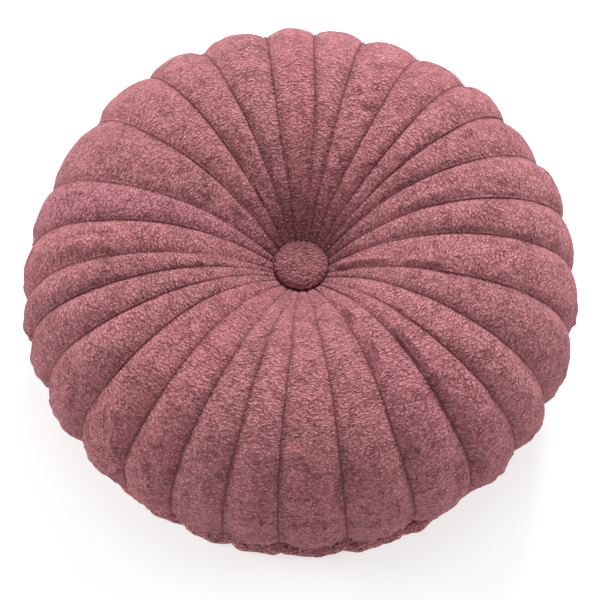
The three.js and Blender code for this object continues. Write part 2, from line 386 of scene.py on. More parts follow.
def shown(mesh):
    """An object at the origin that shows a mesh."""
    piece = bpy.data.objects.new(mesh.name, mesh)
    bpy.context.scene.collection.objects.link(piece)
    return piece


def write_attribute(mesh, name, kind, domain, values):
    """One array of numbers as a named attribute of a mesh."""
    layer = mesh.attributes.new(name, kind, domain)
    field = {"FLOAT_COLOR": "color", "FLOAT_VECTOR": "vector"}.get(kind, "value")
    number = bool if kind == "BOOLEAN" else np.float32
    layer.data.foreach_set(field, np.ascontiguousarray(values, dtype=number).ravel())


# The plush cover

# The grid before it is refined, and how far across a point counts as on the seam
COVER_STEPS = 11
COVER_ROWS = 80
AT_SEAM = 0.999

# The stuffing. The cloth is cut larger from a share of its length on, so that it gathers
# by the hem, and the stuffing grows over a length that starts a little off the button
PUFF_FRAMES = 20
CALMING_PASSES = 12
GATHER_START = 0.62
GATHER_GROWTH = 0.2
UNSTUFFED_LENGTH = 20 * MM
STUFFING_GROWTH = 80 * MM

# The creases, in millimetres. A fold fades over its end steps and a length past them. The
# ridge beside it is a share of its depth, and lies and spreads by so many of its widths
FOLD_STEPS = 24
FOLD_END_STEPS = 6
PAST_END = 2.5
RIDGE_HEIGHT = 0.5
RIDGE_PLACE = 2.3
RIDGE_SPREAD = 1.5
# How far to the side, in millimetres, a fold's strength reaches, which sets the painted shade and the bump
# along its line, and the distance given where no fold lies near
MARK_REACH = 4.5
FAR = 8

# Random folds: where across a channel its gathers rise, and how many wrinkles it has
FOLD_SEED = 7
GATHER_PLACES = (-0.68, -0.25, 0.2, 0.62)
WRINKLES_PER_CHANNEL = 7

# Lumps of the filling and dimples of the cloth: size and height in millimetres, and seed
LUMPS = ((21, 0.4, 3), (9, 0.3, 4), (4.4, 0.2, 6))

# By the button the cloth is smooth. From there lumps and slits grow over a length each
SMOOTH_LENGTH = 10 * MM
LUMPS_GROWTH = 50 * MM
SLIT_DEPTH = 2.0 * MM
SLIT_GROWTH = 90 * MM
SLIT_END = 20 * MM

# How far apart two channels lie on the cloth map, and the slope of that row of channels
CHANNELS_APART = 0.137
CHANNELS_SLOPE = 0.31

# Two tints of the dye, as factors of red, green and blue. Each row of TINTS is a channel
# that differs from the rest, and how much salmon and mauve it takes
DYE_SEED = 11
SALMON = np.array([1.08, 1.00, 0.97])
MAUVE = np.array([1.00, 0.99, 1.10])
TINTS = (
    (0, 0.6, 0.0),
    (11, 0.0, 0.2),
    (12, 0.0, 0.2),
    (17, 0.3, 0.0),
    (18, 0.5, 0.0),
    (23, 0.0, 0.6),
)


def puffed(columns, poles, held, extra, settings):
    """The cover stuffed by Blender's cloth: the seams and both ends are held, pressure
    pushes the cloth between them out, and no point moves further than the limit. extra
    is where the cloth was cut larger, so that it gathers: only there does it keep its
    buckles, and elsewhere they are smoothed along the channel by (1, 2, 1) / 4."""
    mesh = closed_mesh("puff", columns, poles)
    piece = shown(mesh)
    pins = piece.vertex_groups.new(name="held")
    weights = held.reshape(-1)
    for weight in np.unique(weights[weights > 0]):
        pins.add(np.flatnonzero(weights == weight).tolist(), float(weight), "REPLACE")
    pins.add([len(weights), len(weights) + 1], 1.0, "REPLACE")
    loose = piece.vertex_groups.new(name="loose")
    for row, weight in enumerate(extra):
        loose.add(list(range(row, len(weights), len(extra))), float(weight), "REPLACE")
    cloth = piece.modifiers.new("puff", "CLOTH")
    cloth.settings.vertex_group_mass = "held"
    cloth.settings.quality = 6
    cloth.settings.mass = 0.15
    cloth.settings.tension_stiffness = 12
    cloth.settings.compression_stiffness = 8
    cloth.settings.shear_stiffness = 4
    cloth.settings.bending_stiffness = 0.6
    cloth.settings.vertex_group_shrink = "loose"
    cloth.settings.shrink_min = settings.slack
    cloth.settings.shrink_max = settings.hem_slack
    cloth.settings.use_pressure = True
    cloth.settings.uniform_pressure_force = settings.pressure
    cloth.settings.effector_weights.gravity = 0
    cloth.collision_settings.use_collision = False
    cloth.point_cache.frame_start = 1
    cloth.point_cache.frame_end = PUFF_FRAMES
    for step in range(1, PUFF_FRAMES + 1):
        bpy.context.scene.frame_set(step)
    ready = piece.evaluated_get(bpy.context.evaluated_depsgraph_get()).to_mesh()
    moved = np.empty(len(ready.vertices) * 3, dtype=np.float32)
    ready.vertices.foreach_get("co", moved)
    moved = moved.reshape(-1, 3)[: len(weights)].reshape(columns.shape).astype(float)
    bpy.data.objects.remove(piece)
    bpy.data.meshes.remove(mesh)
    bpy.context.scene.frame_set(1)
    shift = moved - columns
    calm = shift.copy()
    for _ in range(CALMING_PASSES):
        calm[:, 1:-1] = (calm[:, :-2] + 2 * calm[:, 1:-1] + calm[:, 2:]) / 4
    shift = mix(calm, shift, extra[:, None])
    far = np.linalg.norm(shift, axis=-1, keepdims=True)
    return columns + shift * np.minimum(1, settings.puff_limit / np.maximum(far, 1e-9))


def stuffed(points, across, along, settings):
    """Channels of points stuffed by the cloth simulation, their seams kept in place and
    the narrow ends at the button left as they are."""
    columns = ring_grid(points)
    seam = np.abs(across[:-1]) > AT_SEAM
    held = np.zeros(points[:, :-1].shape[:3])
    held[:, seam] = 1
    held[:, :, 0] = 1
    held[:, :, -2:] = 1
    poles = cover_poles()
    extra = eased((along / along[-1] - GATHER_START) / GATHER_GROWTH)
    out = puffed(columns, poles, held.reshape(columns.shape[:2]), extra, settings)
    result = np.empty_like(points)
    free = eased((along - UNSTUFFED_LENGTH) / STUFFING_GROWTH)[:, None]
    result[:, :-1] = mix(points[:, :-1], out.reshape(points[:, :-1].shape), free)
    result[:, -1] = np.roll(result[:, 0], -1, 0)
    return result


def cover_poles():
    """The seat under the button and the middle of the flat underside."""
    return [(0, 0, MOUTH_HEIGHT - SEAT_DEPTH), (0, 0, PANEL_THICKNESS + GAP)]


def rim_bearing(channel, across):
    """The bearing at the rim of a place across a channel, -1 and 1 being its seams."""
    first = RIM[channel - 1] - np.where(channel == 0, 360, 0)
    return mix(first, RIM[channel], (across + 1) / 2)


def random_folds():
    """Slight folds in the same columns as FOLDS: lengthwise gathers that rise from the hem
    of each channel, and short wrinkles that lie across it anywhere."""
    rng = np.random.default_rng(FOLD_SEED)
    channel = np.repeat(np.arange(COUNT), len(GATHER_PLACES))
    across = np.tile(GATHER_PLACES, COUNT) + rng.uniform(-0.12, 0.12, len(channel))
    top = rng.uniform(66, 79, len(channel))
    drift = rng.uniform(-0.22, 0.22, (2, len(channel)))
    gathers = np.stack([
        rim_bearing(channel, across + drift[0]), top,
        rim_bearing(channel, across + drift[1]), (top + 96) / 2,
        rim_bearing(channel, across), np.full(len(channel), 97.0),
        rng.uniform(0.3, 1.2, len(channel)), rng.uniform(1.8, 2.6, len(channel)),
    ], axis=-1)
    channel = np.repeat(np.arange(COUNT), WRINKLES_PER_CHANNEL)
    middle = rng.uniform(-0.75, 0.75, len(channel))
    along = rng.uniform(18, 84, len(channel)) + rng.uniform(-1.5, 1.5, (3, len(channel)))
    reach = rng.uniform(0.15, 0.45, len(channel))
    wrinkles = np.stack([
        rim_bearing(channel, middle - reach), along[0], rim_bearing(channel, middle), along[1],
        rim_bearing(channel, middle + reach), along[2],
        rng.uniform(0.2, 0.6, len(channel)), rng.uniform(2.0, 3.0, len(channel)),
    ], axis=-1)
    return np.concatenate([gathers, wrinkles])


def fold_stops(points, stops):
    """The channel that holds a fold's middle point, and each stop's place across it, from
    the bearings of that channel's seams at the stop's own share of the length."""
    rows = np.round(stops[:, 1] / 100 * (points.shape[2] - 1)).astype(int)
    first, second = (np.degrees(np.arctan2(seam[..., 0], seam[..., 1]))[:, rows]
                     for seam in (points[:, 0], points[:, -1]))
    past = (stops[:, 0] - first + 180) % 360 - 180
    across = 2 * past / ((second - first) % 360) - 1
    channel = int(np.argmin(np.abs(across[:, 1])))
    return channel, np.clip(across[channel], -1, 1)


def fold_fields(points, across, along, strengthen):
    """Two fields over the cover's grid: how far each point moves out, and for the strongest
    fold there its distance and its strength, in millimetres, from which the cover's shader
    paints shade along the fold's line and dips its bump. A fold is a quadratic
    curve on the flat cloth; the cloth sinks by depth exp(-(d/w)^2) along it and rises
    beside it on one side, and both die away towards its ends."""
    half = np.linalg.norm(points[:, -1] - points[:, 0], axis=-1)[:, None, :] / 2
    flat = np.stack(np.broadcast_arrays(across[None, :, None] * half, along), axis=-1) / MM
    lift = np.zeros(points.shape[:3])
    mark = np.zeros((*points.shape[:3], 3))
    mark[..., 0] = FAR
    share = np.linspace(0, 1, FOLD_STEPS + 1)[:, None]
    for fold in np.concatenate([FOLDS, random_folds()]):
        stops, depth, width = fold[:6].reshape(3, 2), fold[6] * strengthen, fold[7]
        channel, places = fold_stops(points, stops)
        where = stops[:, 1] / 100 * along[-1]
        reach = np.interp(where, along, half[channel, 0])
        start, by, end = np.stack([places * reach, where], axis=-1) / MM
        pull = 2 * by - (start + end) / 2
        curve = (1 - share) ** 2 * start + 2 * share * (1 - share) * pull + share**2 * end
        run = np.gradient(curve, axis=0)
        run = run / np.linalg.norm(run, axis=-1, keepdims=True)
        gap = flat[channel][:, :, None, :] - curve
        nearest = np.argmin((gap**2).sum(-1), axis=-1)
        gap = np.take_along_axis(gap, nearest[..., None, None], axis=2)[:, :, 0]
        way = run[nearest]
        side = gap[..., 0] * way[..., 1] - gap[..., 1] * way[..., 0]
        past = np.abs(gap[..., 0] * way[..., 0] + gap[..., 1] * way[..., 1])
        ends = eased(np.minimum(nearest, FOLD_STEPS - nearest) / FOLD_END_STEPS)
        ends = ends * np.exp(-((past / PAST_END) ** 2))
        sunk = -depth * np.exp(-((side / width) ** 2))
        from_ridge = (side - RIDGE_PLACE * width) / (RIDGE_SPREAD * width)
        raised = RIDGE_HEIGHT * depth * np.exp(-(from_ridge ** 2))
        lift[channel] += (sunk + raised) * ends * MM
        strength = depth * ends * np.exp(-((side / MARK_REACH) ** 2))
        stronger = strength > mark[channel][..., 1]
        found = np.stack([np.abs(side), strength, 0 * side], axis=-1)
        mark[channel][stronger] = found[stronger]
    return lift, mark


def cover_detail(points, across, along):
    """How far each point of the cover stands out: slow lumps of the filling and finer
    dimples of the cloth, none of them at the seams, and the thin slit of each seam."""
    lumps = 0
    for size, height, seed in LUMPS:
        lumps = lumps + lattice_noise(points, size * MM, seed) * height * MM
    free = 1 - np.abs(across[None, :, None]) ** 6
    free = free * eased((along - SMOOTH_LENGTH) / LUMPS_GROWTH)
    slit = (np.abs(across[None, :, None]) > AT_SEAM) * SLIT_DEPTH
    slit = slit * eased((along - SMOOTH_LENGTH) / SLIT_GROWTH)
    slit = slit * eased((along[-1] - along) / SLIT_END)
    return lumps * free - slit


def cloth_map(across, along, widths):
    """Each channel's own flat coordinates in metres: across from its crest and along its
    length, with the channels set apart so that no two share a patch of pattern."""
    offset = np.arange(COUNT)[:, None, None] * CHANNELS_APART
    u = across[None, :, None] * widths / 2 + offset
    v = np.broadcast_to(along, u.shape)
    return np.stack([u, v + offset * CHANNELS_SLOPE], axis=-1)


def make_cover(settings):
    """The filled cover as one closed mesh, with its cloth map, its creases and its dye."""
    depth = settings.seam_depth
    points, across, along = channel_grid(COVER_STEPS, COVER_ROWS, depth, settings.crest_power,
                                         settings.seam_wander)
    points = stuffed(points, across, along, settings)
    points = refined(refined(points, 1), 2)
    across, along = refined_values(across), refined_values(along)
    normals = grid_normals(ring_grid(points))
    normals = normals.reshape(COUNT, len(across) - 1, *normals.shape[1:])
    normals = np.concatenate([normals, np.roll(normals[:, :1], -1, 0)], axis=1)
    lift, mark = fold_fields(points, across, along, settings.fold_strength)
    free = 1 - np.abs(across[None, :, None]) ** 8
    lift = lift * free + cover_detail(points, across, along)
    points = points + normals * lift[..., None]
    points[:, -1] = np.roll(points[:, 0], -1, 0)

    columns = ring_grid(points)
    flat = columns[:, -1:].copy()
    flat[..., :2] *= FLAT_RADIUS / np.linalg.norm(flat[..., :2], axis=-1, keepdims=True)
    flat[..., 2] = PANEL_THICKNESS + GAP
    seat = columns[:, :1].copy()
    seat[..., :2] *= (MOUTH_RADIUS - SEAT_DEPTH) / MOUTH_RADIUS
    seat[..., 2] = MOUTH_HEIGHT - SEAT_DEPTH
    columns = np.concatenate([seat, columns, flat], axis=1)
    mesh = closed_mesh("cushion_cover", columns, cover_poles())
    paint_cover(mesh, points, across, along, mark)
    return shown(mesh)


def corner_values(grid):
    """Values of (channel, step, row, 2) as the face corners of the cover's mesh."""
    grid = np.concatenate([grid[:, :, :1], grid, grid[:, :, -1:]], axis=2)
    a, b = grid[:, :-1, :-1], grid[:, 1:, :-1]
    c, d = grid[:, 1:, 1:], grid[:, :-1, 1:]
    quads = np.stack([a, b, c, d], axis=3).reshape(-1, 2)
    first = np.stack([a[:, :, 0], b[:, :, 0], a[:, :, 0]], axis=2).reshape(-1, 2)
    last = np.stack([d[:, :, -1], c[:, :, -1], c[:, :, -1]], axis=2).reshape(-1, 2)
    return np.concatenate([quads, first, last]).astype(np.float32)


def paint_cover(mesh, points, across, along, mark):
    """Writes the cover's cloth map and its distance from the seams on its face corners, the
    strongest fold on its points, each channel's dye on its faces, and its sharp seams. The
    shader paints shade along the seams and folds from the distance and the fold."""
    steps, rows = len(across) - 1, len(along)
    widths = np.linalg.norm(points[:, -1] - points[:, 0], axis=-1)[:, None, :]
    flat = cloth_map(across, along, widths)
    from_seam = (1 - np.abs(across[None, :, None])) * widths / 2
    seam = np.stack(np.broadcast_arrays(from_seam, along), axis=-1)
    for name, grid in (("cloth", flat), ("seam", seam)):
        layer = mesh.uv_layers.new(name=name)
        layer.data.foreach_set("uv", corner_values(grid).ravel())

    folds = ring_grid(mark)
    folds = np.concatenate([folds[:, :1], folds, folds[:, -1:]], axis=1).reshape(-1, 3)
    folds = np.concatenate([folds, [(FAR, 0, 0), (FAR, 0, 0)]])
    write_attribute(mesh, "fold", "FLOAT_VECTOR", "POINT", folds)

    rng = np.random.default_rng(DYE_SEED)
    dyes = np.ones((COUNT, 4))
    dyes[:, :3] = 1 + rng.normal(0, 0.025, (COUNT, 1)) + rng.normal(0, 0.010, (COUNT, 3))
    for channel, salmon, mauve in TINTS:
        dyes[channel, :3] *= SALMON**salmon * MAUVE**mauve
    per_face = np.repeat(dyes, steps * (rows + 1), axis=0)
    fan_dyes = np.repeat(dyes, steps, axis=0)
    all_dyes = np.concatenate([per_face, fan_dyes, fan_dyes])
    write_attribute(mesh, "dye", "FLOAT_COLOR", "FACE", all_dyes)

    ends = np.empty(len(mesh.edges) * 2, dtype=np.int32)
    mesh.edges.foreach_get("vertices", ends)
    columns = ends.reshape(-1, 2) // (rows + 2)
    in_seam = (columns[:, 0] == columns[:, 1]) & (columns[:, 0] % steps == 0)
    in_seam &= columns[:, 0] < COUNT * steps
    write_attribute(mesh, "sharp_edge", "BOOLEAN", "EDGE", in_seam)


# The base panel

PANEL_STEPS = 14
ROLL_START = LIP_RADIUS - 8 * MM


def panel_grid():
    """The base panel as (column, row, 3): a flat disc whose edge is a soft roll. The roll's
    radius and height are moved by the seams' notches and by noise that runs round it."""
    share = np.arange(PANEL_STEPS) / PANEL_STEPS
    first = np.roll(RIM, 1)
    first[0] -= 360
    bearing = np.radians(mix(first[:, None], RIM[:, None], share)).ravel()
    bulge = np.tile(np.sin(math.pi * share) ** LIP_SCALLOP_POWER, COUNT)
    around = np.stack([np.sin(bearing), np.cos(bearing), 0 * bearing], axis=-1) * LIP_RADIUS
    pucker = lattice_noise(around, 11 * MM, 21) * 0.6 + lattice_noise(around, 6 * MM, 22) * 0.4
    slow = lattice_noise(around, 47 * MM, 23)
    reach = LIP_NOTCH * (bulge - 1) + 2.2 * MM * pucker + 1.2 * MM * slow
    thick = LIP_THICKNESS - 1.6 * MM + 1.3 * MM * lattice_noise(around, 14 * MM, 24)
    turn = np.linspace(0, math.pi, 13)
    roll_out = np.sin(turn) ** 0.8
    roll_up = (1 + np.cos(turn)) / 2
    inner = np.linspace(FLAT_RADIUS, ROLL_START, 6)
    climb = eased((inner - FLAT_RADIUS) / (JOIN_RADIUS - FLAT_RADIUS))
    top_height = mix(PANEL_THICKNESS, thick[:, None], climb)
    top_radius = np.broadcast_to(inner, top_height.shape)
    edge = LIP_RADIUS + reach[:, None] - ROLL_START
    roll_radius = ROLL_START + edge * roll_out
    roll_height = thick[:, None] * roll_up
    under = np.linspace(ROLL_START, FLAT_RADIUS, 3)[1:]
    low_radius = np.broadcast_to(under, (len(bearing), len(under)))
    radius = np.concatenate([top_radius, roll_radius[:, 1:], low_radius], axis=1)
    height = np.concatenate([top_height, roll_height[:, 1:], 0 * low_radius], axis=1)
    return radius, height, bearing


def make_panel():
    """The base panel as one closed mesh, its roll crumpled by fine noise above the floor."""
    radius, height, bearing = panel_grid()
    east = radius * np.sin(bearing)[:, None]
    north = radius * np.cos(bearing)[:, None]
    points = np.stack([east, north, height], axis=-1)
    normals = grid_normals(points)
    crumple = lattice_noise(points, 5 * MM, 31) * 0.7 * MM
    crumple = crumple + lattice_noise(points, 2.6 * MM, 32) * 0.3 * MM
    free = eased(height / (3 * MM)) * eased((radius - JOIN_RADIUS) / (6 * MM))
    points = points + normals * (crumple * free)[..., None]
    points[..., 2] = np.maximum(points[..., 2], 0)
    poles = [(0, 0, PANEL_THICKNESS), (0, 0, 0)]
    return shown(closed_mesh("base_cloth", points, poles))


# The covered button

BUTTON_SIDES = 96
BUTTON_EDGE = 0.54
BUTTON_SEAT_RADIUS = 13 * MM
BUTTON_TUCKS = 23


def make_button():
    """The button as one closed mesh: a flat seat, a flared side and a dome whose radius
    falls as the cosine while its height rises as the sine, with crinkled cloth."""
    low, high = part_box("centre_button")
    button_radius = (high[0] - low[0]) / 2
    seat, crown = low[2], high[2]
    edge = seat + BUTTON_EDGE * (crown - seat)
    turn = np.linspace(0, math.pi / 2, 26)[1:]
    dome_radius = button_radius * np.sin(turn) ** 0.9
    dome_height = edge + (crown - edge) * np.cos(turn)
    side = np.linspace(0, 1, 8)[1:]
    side_radius = mix(button_radius, BUTTON_SEAT_RADIUS, side)
    side_height = mix(edge - 0.4 * MM, seat, side ** 0.8)
    radius = np.concatenate([dome_radius, side_radius])
    height = np.concatenate([dome_height, side_height])
    bearing = np.arange(BUTTON_SIDES) / BUTTON_SIDES * TURN
    points = np.stack([
        np.sin(bearing)[:, None] * radius,
        np.cos(bearing)[:, None] * radius,
        np.broadcast_to(height, (BUTTON_SIDES, len(radius))),
    ], axis=-1)
    stretched = points * np.array([0.6, 1.0, 1.0])
    crinkle = -np.abs(lattice_noise(stretched, 3.4 * MM, 41)) * 0.7 * MM
    crinkle = crinkle + lattice_noise(points, 7 * MM, 42) * 0.3 * MM
    tucks = np.cos(BUTTON_TUCKS * bearing + 2 * np.sin(3 * bearing))[:, None] * 0.35 * MM
    tucks = tucks * eased((radius - 0.7 * button_radius) / (0.3 * button_radius))
    free = eased((height - seat) / (4 * MM))
    points = points + grid_normals(points) * ((crinkle + tucks) * free)[..., None]
    return shown(closed_mesh("button_cloth", points, [(0, 0, crown), (0, 0, seat)]))


# Materials

class Wire:
    """A shader socket whose sums are written as Python: each operator adds a Math node."""

    def __init__(self, paint, socket):
        self.paint = paint
        self.socket = socket

    def _math(self, operation, *values):
        settings = {"operation": operation}
        return self.paint.node("Math", settings, dict(enumerate(values)))

    def __add__(self, other):
        return self._math("ADD", self, other)

    def __sub__(self, other):
        return self._math("SUBTRACT", self, other)

    def __rsub__(self, other):
        return self._math("SUBTRACT", other, self)

    def __mul__(self, other):
        return self._math("MULTIPLY", self, other)

    def __truediv__(self, other):
        return self._math("DIVIDE", self, other)

    def bell(self, width):
        """exp(-(x / width)^2): 1 at 0, dying away on both sides."""
        scaled = self / width
        return self._math("EXPONENT", scaled * scaled * -1.0)

    def ramp(self, low, high, start=0.0, end=1.0):
        """start below low, end above high, and a smooth step between them."""
        settings = {"interpolation_type": "SMOOTHSTEP"}
        sockets = {0: self, 1: low, 2: high, 3: start, 4: end}
        return self.paint.node("MapRange", settings, sockets)


class Paint:
    """A material's nodes. node() adds one of any type from its settings and its sockets."""

    def __init__(self, name):
        self.material = bpy.data.materials.new(name)
        self.material.use_nodes = True
        self.tree = self.material.node_tree
        self.tree.nodes.clear()

    def node(self, kind, settings=None, sockets=None, out=0):
        """Adds a node: its settings first, then a value or a link for each named socket."""
        made = self.tree.nodes.new("ShaderNode" + kind)
        for name, value in (settings or {}).items():
            setattr(made, name, value)
        for name, value in (sockets or {}).items():
            if isinstance(value, Wire):
                self.tree.links.new(value.socket, made.inputs[name])
            else:
                made.inputs[name].default_value = value
        return Wire(self, made.outputs[out]) if made.outputs else made

    def vector(self, operation, first, second):
        """Vector Math on two vectors."""
        return self.node("VectorMath", {"operation": operation}, {0: first, 1: second})

    def blend(self, factor, first, second, kind="MIX"):
        """Two colours mixed by a factor, or multiplied and so on by kind."""
        settings = {"data_type": "RGBA", "blend_type": kind}
        return self.node("Mix", settings, {0: factor, 6: first, 7: second}, out=2)

    def noise(self, vector, size, detail=2.0, roughness=0.5, out=0):
        """Blender's noise with blobs of about that size in metres."""
        sockets = {"Vector": vector, "Scale": 1 / size, "Detail": detail, "Roughness": roughness}
        return self.node("TexNoise", {}, sockets, out)

    def cells(self, vector, size, feature, out=0):
        """Voronoi cells of about that size in metres, one of its features."""
        sockets = {"Vector": vector, "Scale": 1 / size, "Randomness": 1.0}
        return self.node("TexVoronoi", {"feature": feature}, sockets, out)

    def finish(self, sockets):
        """Ends the material in a Principled shader with those values and links."""
        surface = self.node("BsdfPrincipled", {}, sockets)
        output = self.tree.nodes.new("ShaderNodeOutputMaterial")
        self.tree.links.new(surface.socket, output.inputs[0])
        return self.material


def rgba(colour):
    """A colour property as the four numbers that a socket takes."""
    return (*colour, 1.0)


def fleece(name, flat, colours, folds_seam_shade_and_dye=False):
    """Short brushed pile. Round tufts are bent by a slow drift, thin wavy furrows part
    them and some patches crack into clumps, their partings partly the pile's deeper base
    and partly painted shade. With its switch on, as for the cover, painted shade lies in
    fine dark lines along the folds and seams, and each channel's dye tints the colour.
    Together they give the relief, and the shade from the dark base to the lit tips."""
    paint = Paint(name)
    coords = flat(paint)
    drift = paint.noise(coords, 14 * MM, 2.0, 0.5, out=1)
    drift = paint.vector("SUBTRACT", drift, (0.5, 0.5, 0.5))
    bent = paint.vector("ADD", coords, paint.vector("MULTIPLY", drift, (4 * MM, 4 * MM, 4 * MM)))
    drawn = paint.vector("MULTIPLY", bent, (0.85, 1.3, 1.0))

    tuft = 1 - paint.cells(drawn, 2.3 * MM, "F1").ramp(0.05, 0.80)
    fibre = paint.noise(coords, 1.0 * MM, 1.0, 0.5).ramp(0.32, 0.68)
    furrow = ((paint.noise(drawn, 4.6 * MM, 1.5, 0.5) - 0.5) * 17).bell(1.0)
    furrow = furrow * paint.noise(coords, 11 * MM, 1.0, 0.5).ramp(0.40, 0.60, 0.15, 1.0)
    clump = paint.cells(bent, 4.4 * MM, "DISTANCE_TO_EDGE").ramp(0.0, 0.13)
    matted = paint.noise(coords, 26 * MM, 2.0, 0.5).ramp(0.46, 0.74)
    cracked = (1 - clump) * matted
    patches = paint.noise(coords, 40 * MM, 2.0, 0.5).ramp(0.25, 0.75)

    height = tuft * 0.80 + fibre * 0.36 - furrow * 0.55 - cracked * 0.60
    grain = (tuft - 0.5) * 0.34 + (fibre - 0.5) * 0.36 - furrow * 0.18
    shade = grain + patches * 0.03 - cracked * 0.12 + 0.52
    # How far the colour goes to the darkest pile colour: in the cracks and furrows partly the pile's
    # deeper base and partly painted shade
    dark = cracked * 0.10 + furrow * 0.05
    if folds_seam_shade_and_dye:
        fold = paint.node("Attribute", {"attribute_name": "fold"}, out=1)
        distance = paint.node("SeparateXYZ", {}, {0: fold})
        strength = paint.node("SeparateXYZ", {}, {0: fold}, out=1)
        # Painted shade along the line of each fold, which also dips the bump there
        fold_dip_and_shade = distance.bell(1.1) * strength.ramp(0.3, 2.8)
        seam = paint.node("UVMap", {"uv_map": "seam"})
        from_seam = paint.node("SeparateXYZ", {}, {0: seam})
        along = paint.node("SeparateXYZ", {}, {0: seam}, out=1)
        # Painted shade in the hollow of each seam: a thin dark line and a faint wider band, weaker towards
        # the button
        outer = along.ramp(35 * MM, 130 * MM, 0.35, 1.0)
        painted_seam_shade = (from_seam.bell(0.8 * MM) * 0.70 + from_seam.bell(3.5 * MM) * 0.08) * outer
        height = height - fold_dip_and_shade * 1.2
        dark = dark + fold_dip_and_shade * 0.50 + painted_seam_shade
    colour = paint.blend(shade.ramp(-0.05, 0.62), rgba(colours.roots), rgba(colours.pile))
    colour = paint.blend(shade.ramp(0.45, 1.0), colour, rgba(colours.tips))
    colour = paint.blend(dark, colour, rgba(colours.roots))
    if folds_seam_shade_and_dye:
        tint = paint.node("Attribute", {"attribute_name": "dye"})
        colour = paint.blend(1.0, colour, tint, "MULTIPLY")

    bump = paint.node("Bump", {}, {"Strength": 1.0, "Distance": 1.2 * MM, "Height": height})
    return paint.finish({
        "Base Color": colour,
        "Normal": bump,
        "Roughness": 0.95,
        "Specular IOR Level": 0.08,
        "Sheen Weight": 0.10,
        "Sheen Roughness": 0.40,
        "Sheen Tint": rgba(colours.sheen),
    })


def on_cloth(paint):
    """The cover's own flat coordinates."""
    return paint.node("UVMap", {"uv_map": "cloth"})


def on_object(paint):
    """Object coordinates, for a piece with no cloth map."""
    return paint.node("TexCoord", out=3)


def dressed(piece, material, node):
    """A piece with its material that rides on the root and stands for one solid."""
    piece.data.materials.append(material)
    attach(piece, "root")
    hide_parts(node)
    return piece


# The studio

# Each lamp's name, place, target, size in metres and power in watts
LAMPS = (
    ("key", (0.3, 1.5, 1.2), (0, 0, 0.08), 0.6, 48),
    ("top", (0, 0.2, 2.2), (0, 0, 0.08), 1.2, 12),
    ("fill", (0.2, -1.6, 0.4), (0, 0, 0.02), 0.4, 5),
    ("left", (-1.6, 0.2, 0.5), (0, 0, 0.06), 0.5, 19),
    ("right", (1.6, 0.2, 0.5), (0, 0, 0.06), 0.5, 11),
)
WORLD_STRENGTH = 0.33
FLOOR_SIDES = 96
FLOOR_RINGS = (0.4, 1.2, 3.0, 6.0)


def track(thing, target):
    """Turns a lamp or camera so that it looks at a point."""
    thing.rotation_euler = (Vector(target) - thing.location).to_track_quat("-Z", "Y").to_euler()


def softbox(name, place, target, size, power):
    """A square area lamp."""
    data = bpy.data.lights.new(name, "AREA")
    data.shape = "SQUARE"
    data.size = size
    data.energy = power
    lamp = bpy.data.objects.new(name, data)
    lamp.location = place
    track(lamp, target)
    bpy.context.scene.collection.objects.link(lamp)


def make_floor(colour):
    """A wide level disc, as rings of points round the origin."""
    sides, rings = FLOOR_SIDES, len(FLOOR_RINGS)
    here = np.arange(sides)
    bearing = here / sides * TURN
    radius = np.array(FLOOR_RINGS)
    points = np.stack([
        np.sin(bearing)[:, None] * radius,
        np.cos(bearing)[:, None] * radius,
        np.zeros((sides, rings)),
    ], axis=-1)
    quads, _ = closed_faces(sides, rings)
    middle = np.full(sides, sides * rings)
    hub = np.stack([middle, (here + 1) % sides * rings, here * rings], axis=-1)
    mesh = bpy.data.meshes.new("studio_floor")
    vertices = points.reshape(-1, 3).tolist() + [(0, 0, 0)]
    mesh.from_pydata(vertices, [], quads.tolist() + hub.tolist())
    paint = Paint("studio_floor")
    mottle = paint.noise(paint.node("TexCoord", out=3), 0.6, 1.0, 0.5)
    tone = paint.blend(mottle, rgba([value * 0.985 for value in colour]), rgba(colour))
    mesh.materials.append(paint.finish({
        "Base Color": tone,
        "Roughness": 0.9,
        "Emission Color": (1, 1, 1, 1),
        "Emission Strength": 0.62,
    }))
    return shown(mesh)


def make_camera(studio):
    """The camera at the photograph's angle: above and in front, with a long lens."""
    scene = bpy.context.scene
    data = bpy.data.cameras.new("camera")
    data.sensor_width = 36
    data.lens = studio.lens
    camera = bpy.data.objects.new("camera", data)
    scene.collection.objects.link(camera)
    tilt = math.radians(studio.elevation)
    target = Vector(studio.target)
    back = Vector((0, -math.cos(tilt), math.sin(tilt)))
    camera.location = target + back * studio.distance
    track(camera, target)
    scene.camera = camera


# Properties, operators and panel

class PillowShape(bpy.types.PropertyGroup):
    """Sizes of the cover that a user may change."""

    seam_depth: FloatProperty(name="Seam depth", description="How deep the seams lie at the rim",
                              default=6.2 * MM, min=0, unit="LENGTH")
    crest_power: FloatProperty(name="Crest power", description="2 is an ellipse, more is boxier",
                               default=1.85, min=1.2, max=6)
    fold_strength: FloatProperty(name="Fold strength", description="Depth of the creases, 1 as listed",
                                 default=1.6, min=0, max=3)
    seam_wander: FloatProperty(name="Seam wander", description="How far the seams stray, in degrees",
                               default=0.4, min=0)
    puff_limit: FloatProperty(name="Puff limit", description="The furthest that stuffing moves a point",
                              default=2.5 * MM, min=0, unit="LENGTH")
    slack: FloatProperty(name="Slack", description="Shrinking of the cloth; less than 0 leaves it loose",
                         default=-0.012, min=-0.3, max=0.3)
    hem_slack: FloatProperty(name="Hem slack", description="The same for the cloth near the hem",
                             default=-0.07, min=-0.3, max=0.3)
    pressure: FloatProperty(name="Pressure", description="Pressure of the stuffing on the cloth",
                            default=4.0, min=0)


